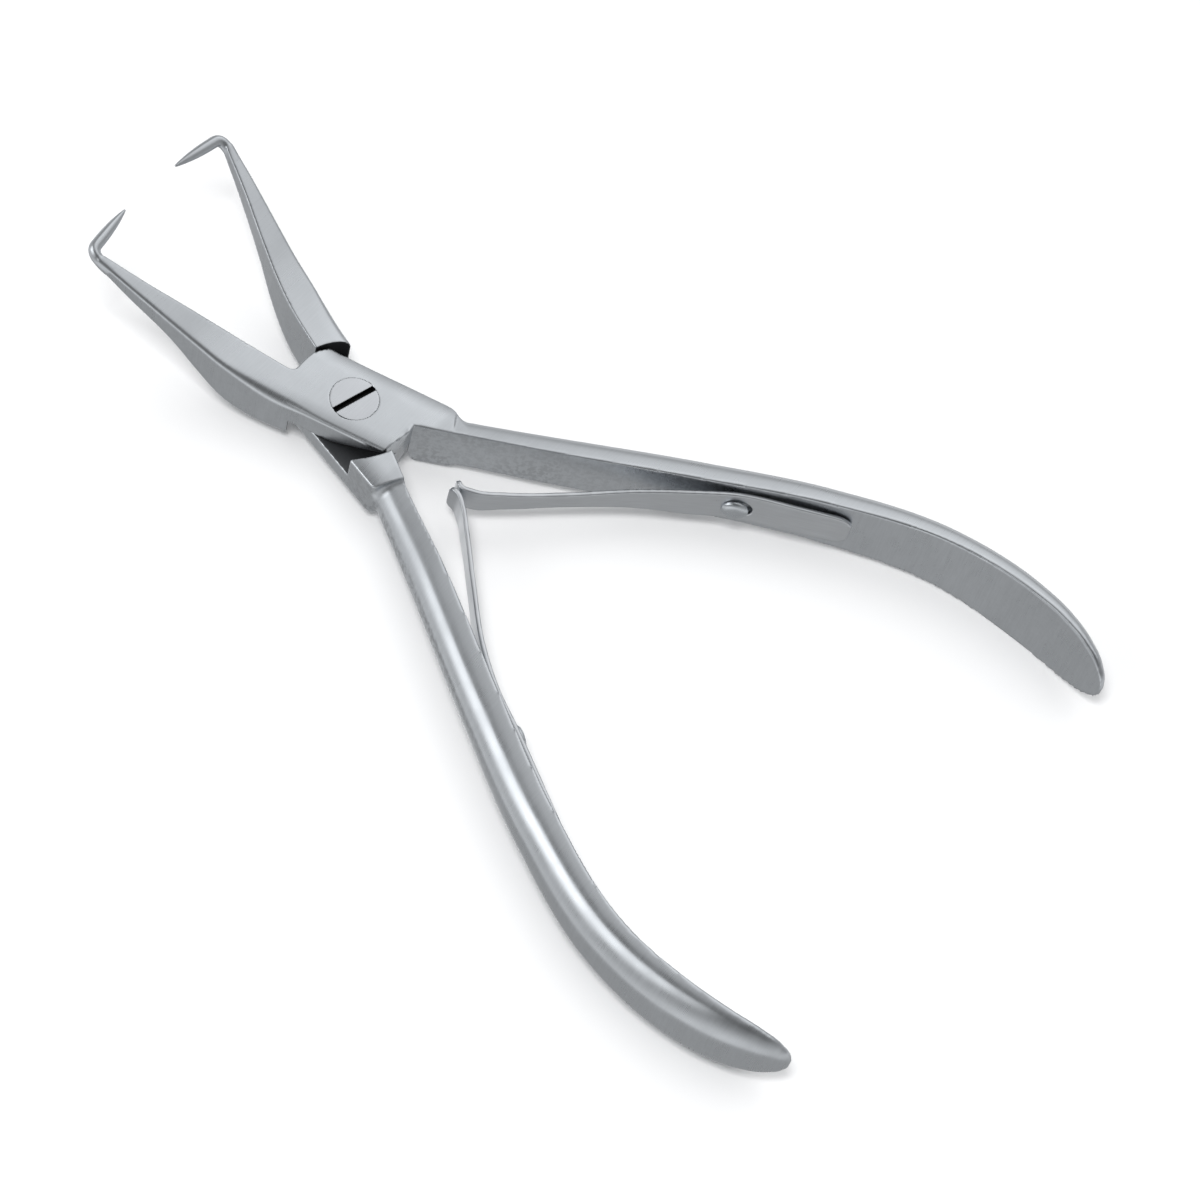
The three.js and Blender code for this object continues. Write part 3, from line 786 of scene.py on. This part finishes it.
def sharpen_rims(piece, reach, angle):
    """Edges within `reach` mm of the pivot's axis that turn by more than `angle` stay sharp."""
    mesh = piece.data
    mesh.set_sharp_from_angle(angle=angle)
    ends = np.zeros(len(mesh.edges) * 2, np.int32)
    mesh.edges.foreach_get("vertices", ends)
    places = np.zeros(len(mesh.vertices) * 3)
    mesh.vertices.foreach_get("co", places)
    radius = np.hypot(*places.reshape(-1, 3)[:, :2].T)[ends.reshape(-1, 2)].max(1)
    sharp = np.zeros(len(mesh.edges), bool)
    marks = mesh.attributes["sharp_edge"].data
    marks.foreach_get("value", sharp)
    marks.foreach_set("value", sharp & (radius < reach * MM))


def dress(piece, body, nodes, material):
    """The piece's material, the body it rides on and the CAD nodes it replaces."""
    piece.data.materials.clear()
    piece.data.materials.append(material)
    if body is not None:
        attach(piece, body)
    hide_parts(*nodes)


# ---------------------------------------------------------------- the pieces

CROSS_GRAIN = (5200, 240, 240)
LEAF_GRAIN = (300, 300, 4200)
EVEN_GRAIN = (900, 900, 900)
HALF_TONE = (0.628, 0.652, 0.68)
SCREW_TONE = (0.64, 0.658, 0.688)
LEAF_TONE = (0.67, 0.69, 0.715)
RIVET_TONE = (0.62, 0.65, 0.68)
RIM_REACH = HEAD_RADIUS + 0.4
RIM_ANGLE = math.radians(25)

# The grids are finer at the screw and at the hooks.
half_xs = steps((-97.3, -4.05, 0.25), (-4.05, 4.2, 0.125), (4.2, 31.0, 0.25), (31.0, 36.6, 0.125))
half_ys = steps((-40.9, -3.9, 0.25), (-3.9, 4.1, 0.125), (4.1, 14.2, 0.25))
half_zs = steps((-2.1, 5.4, 0.25), (5.4, 7.9, 0.125), (7.9, 15.4, 0.25), (15.4, 19.9, 0.125))

for name, is_upper in (("upper", True), ("lower", False)):
    def this_half(x, y, z, upper=is_upper):
        return half_field(x, y, z, upper)

    if is_upper:
        wall = LOWER_PLATE_RADIUS + SHOULDER_GAP
        # Painted shade: the shoulder wall facing the lower plate is painted near-black for the
        # shade in the gap.
        painted_shade_zones = [(wall - 0.1, wall + 0.06, -1.0, LAP_HEIGHT, 0.05)]
    else:
        wall = UPPER_PLATE_RADIUS + SHOULDER_GAP
        # Painted shade: the shoulder wall facing the upper plate, and the lap's top under the
        # upper plate's tail, are painted dark for the shade in the gap.
        painted_shade_zones = [
            (wall - 0.1, wall + 0.05, LAP_HEIGHT, THICKNESS + 1.0, 0.05),
            (0.0, wall, LAP_HEIGHT - 0.1, LAP_HEIGHT + 0.1, 0.14),
        ]
    half_steel = steel(
        name + "_half_steel", HALF_TONE, 0.3, CROSS_GRAIN,
        mottle=0.6, painted_shade_zones=painted_shade_zones,
    )
    half = piece_from_field(
        name + "_half_body", this_half, half_xs, half_ys, half_zs, mirror=not is_upper)
    sharpen_rims(half, RIM_REACH, RIM_ANGLE)
    dress(half, name + "_half", [name + "_half"], half_steel)

    field, rivet_base, rivet_out = leaf_field(UPPER_LEAF if is_upper else LOWER_LEAF)
    leaf = piece_from_field(
        name + "_leaf", field,
        steps((-60.0, -15.6, 0.16)), steps((-32.5, 1.4, 0.16)), steps((1.6, 8.4, 0.16)),
        mirror=not is_upper,
    )
    leaf_steel = steel(name + "_leaf_steel", LEAF_TONE, 0.34, LEAF_GRAIN, 0.8)
    dress(leaf, None, [name + "_leaf_spring"], leaf_steel)
    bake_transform(leaf)

    leaf_middle = np.array([RIVET_X, LEAF_Y_AT_RIVET, RIVET_Z])
    leaf_height = float((leaf_middle - rivet_base) @ rivet_out) + LEAF_THICKNESS / 2
    rivet = rivet_piece(name + "_rivet", leaf_height, mirror=not is_upper)
    rivet_steel = steel(name + "_rivet_steel", RIVET_TONE, 0.28, EVEN_GRAIN, 0.7)
    dress(rivet, name + "_half", [name + "_spring_rivet"], rivet_steel)

screw = piece_from_field(
    "slotted_screw", screw_field,
    steps((-3.6, 3.6, 0.11)), steps((-3.6, 3.6, 0.11)), steps((-0.4, 8.1, 0.11)),
)
sharpen_rims(screw, RIM_REACH, RIM_ANGLE)
# Painted shade: the slot inside the screw's head is painted near-black for the shade inside it.
screw_steel = steel(
    "screw_steel", SCREW_TONE, 0.3, CROSS_GRAIN,
    painted_shade_zones=[(0.0, HEAD_RADIUS, THICKNESS - HEAD_DEPTH, THICKNESS - 0.14, 0.03)],
)
dress(screw, "lower_half", ["pivot_screw"], screw_steel)


# ---------------------------------------------------------------- floor, light, camera

# The surroundings the steel mirrors: (height of a direction, brightness) from straight
# down to straight up, then soft lights as (direction, full within, none beyond, amount),
# the angles in degrees. The last two are the darker side of the room.
SKY_BANDS = [
    (-1.0, 0.40), (-0.72, 0.41), (-0.45, 0.82), (-0.2, 0.55),
    (0.0, 0.42), (0.4, 0.34), (1.0, 0.34),
]
SKY_LIGHTS = [
    ((-0.05, -0.50, 0.86), 8, 55, 0.58),
    ((0.2, -0.8, 0.52), 12, 34, 0.24),
    ((0.47, -0.30, -0.83), 7, 22, 0.62),
    ((0.77, 0.53, 0.36), 7, 24, 1.35),
    ((0.50, 0.76, 0.41), 5, 24, 1.00),
    ((0.22, 0.86, 0.46), 3, 20, 0.55),
    ((-0.2, 0.85, -0.40), 8, 26, 0.18),
    ((-0.35, 0.80, 0.45), 8, 34, -0.06),
    ((-0.19, 0.48, 0.86), 18, 58, -0.14),
]


def studio():
    low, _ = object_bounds()
    floor_mesh = bpy.data.meshes.new("floor")
    build = bmesh.new()
    bmesh.ops.create_grid(build, x_segments=2, y_segments=2, size=1.6)
    build.to_mesh(floor_mesh)
    build.free()
    floor = bpy.data.objects.new("floor", floor_mesh)
    floor.location.z = low.z - 0.0001
    bpy.context.scene.collection.objects.link(floor)
    pale = bpy.data.materials.new("pale_floor")
    pale.use_nodes = True
    paint = pale.node_tree.nodes["Principled BSDF"]
    paint.inputs["Base Color"].default_value = (0.92, 0.92, 0.925, 1)
    paint.inputs["Roughness"].default_value = 0.9
    paint.inputs["Specular IOR Level"].default_value = 0.1
    floor_mesh.materials.append(pale)
    floor.visible_glossy = False
    floor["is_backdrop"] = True

    world = bpy.data.worlds.new("studio")
    bpy.context.scene.world = world
    world.use_nodes = True
    nodes = world.node_tree.nodes
    links = world.node_tree.links
    place = nodes.new("ShaderNodeTexCoord")
    x_y_z = nodes.new("ShaderNodeSeparateXYZ")
    links.new(place.outputs["Generated"], x_y_z.inputs[0])
    height = nodes.new("ShaderNodeMapRange")
    height.inputs["From Min"].default_value = -1.0
    links.new(x_y_z.outputs[2], height.inputs["Value"])
    bands = nodes.new("ShaderNodeValToRGB")
    links.new(height.outputs["Result"], bands.inputs["Fac"])
    stops = bands.color_ramp.elements
    for i, (up, grey) in enumerate(SKY_BANDS):
        stop = stops[i] if i < 2 else stops.new(1.0)
        stop.position = (up + 1) / 2
        stop.color = (grey, grey, grey, 1)
    total = bands.outputs["Color"]
    for toward, inner, outer, amount in SKY_LIGHTS:
        facing = nodes.new("ShaderNodeVectorMath")
        facing.operation = "DOT_PRODUCT"
        facing.inputs[1].default_value = Vector(toward).normalized()
        links.new(place.outputs["Generated"], facing.inputs[0])
        glow = nodes.new("ShaderNodeMapRange")
        glow.interpolation_type = "SMOOTHSTEP"
        glow.inputs["From Min"].default_value = math.cos(math.radians(outer))
        glow.inputs["From Max"].default_value = math.cos(math.radians(inner))
        glow.inputs["To Max"].default_value = amount
        links.new(facing.outputs["Value"], glow.inputs["Value"])
        add = nodes.new("ShaderNodeMath")
        links.new(total, add.inputs[0])
        links.new(glow.outputs["Result"], add.inputs[1])
        total = add.outputs[0]
    links.new(total, nodes["Background"].inputs["Strength"])
    nodes["Background"].inputs["Color"].default_value = (0.985, 0.995, 1.0, 1)

    def panel(name, place, size, power):
        lamp = bpy.data.lights.new(name, "AREA")
        lamp.shape = "RECTANGLE"
        lamp.size, lamp.size_y = size
        lamp.energy = power
        item = bpy.data.objects.new(name, lamp)
        item.location = place
        item.rotation_mode = "QUATERNION"
        item.rotation_quaternion = (Vector((-0.02, 0, 0)) - Vector(place)).to_track_quat("-Z", "Y")
        item.visible_glossy = False
        bpy.context.scene.collection.objects.link(item)

    panel("overhead", (0.05, -0.10, 0.80), (1.0, 1.0), 1.9)
    panel("front", (-0.05, 0.22, 0.56), (0.14, 0.14), 1.75)


def camera():
    data = bpy.data.cameras.new("camera")
    data.lens = 109.29
    data.sensor_width = 36.0
    data.clip_start = 0.01
    data.clip_end = 10.0
    item = bpy.data.objects.new("camera", data)
    right = Vector((-0.7784, -0.60485, 0.1681))
    up = Vector((0.59856, -0.63433, 0.48923))
    back = Vector((-0.18928, 0.48143, 0.8558))
    turn = Matrix((right, up, back)).transposed().to_4x4()
    turn.translation = Vector((-0.12803, 0.22161, 0.39883))
    item.matrix_world = turn
    bpy.context.scene.collection.objects.link(item)
    bpy.context.scene.camera = item


studio()
camera()

bpy.context.scene.view_settings.view_transform = "Standard"
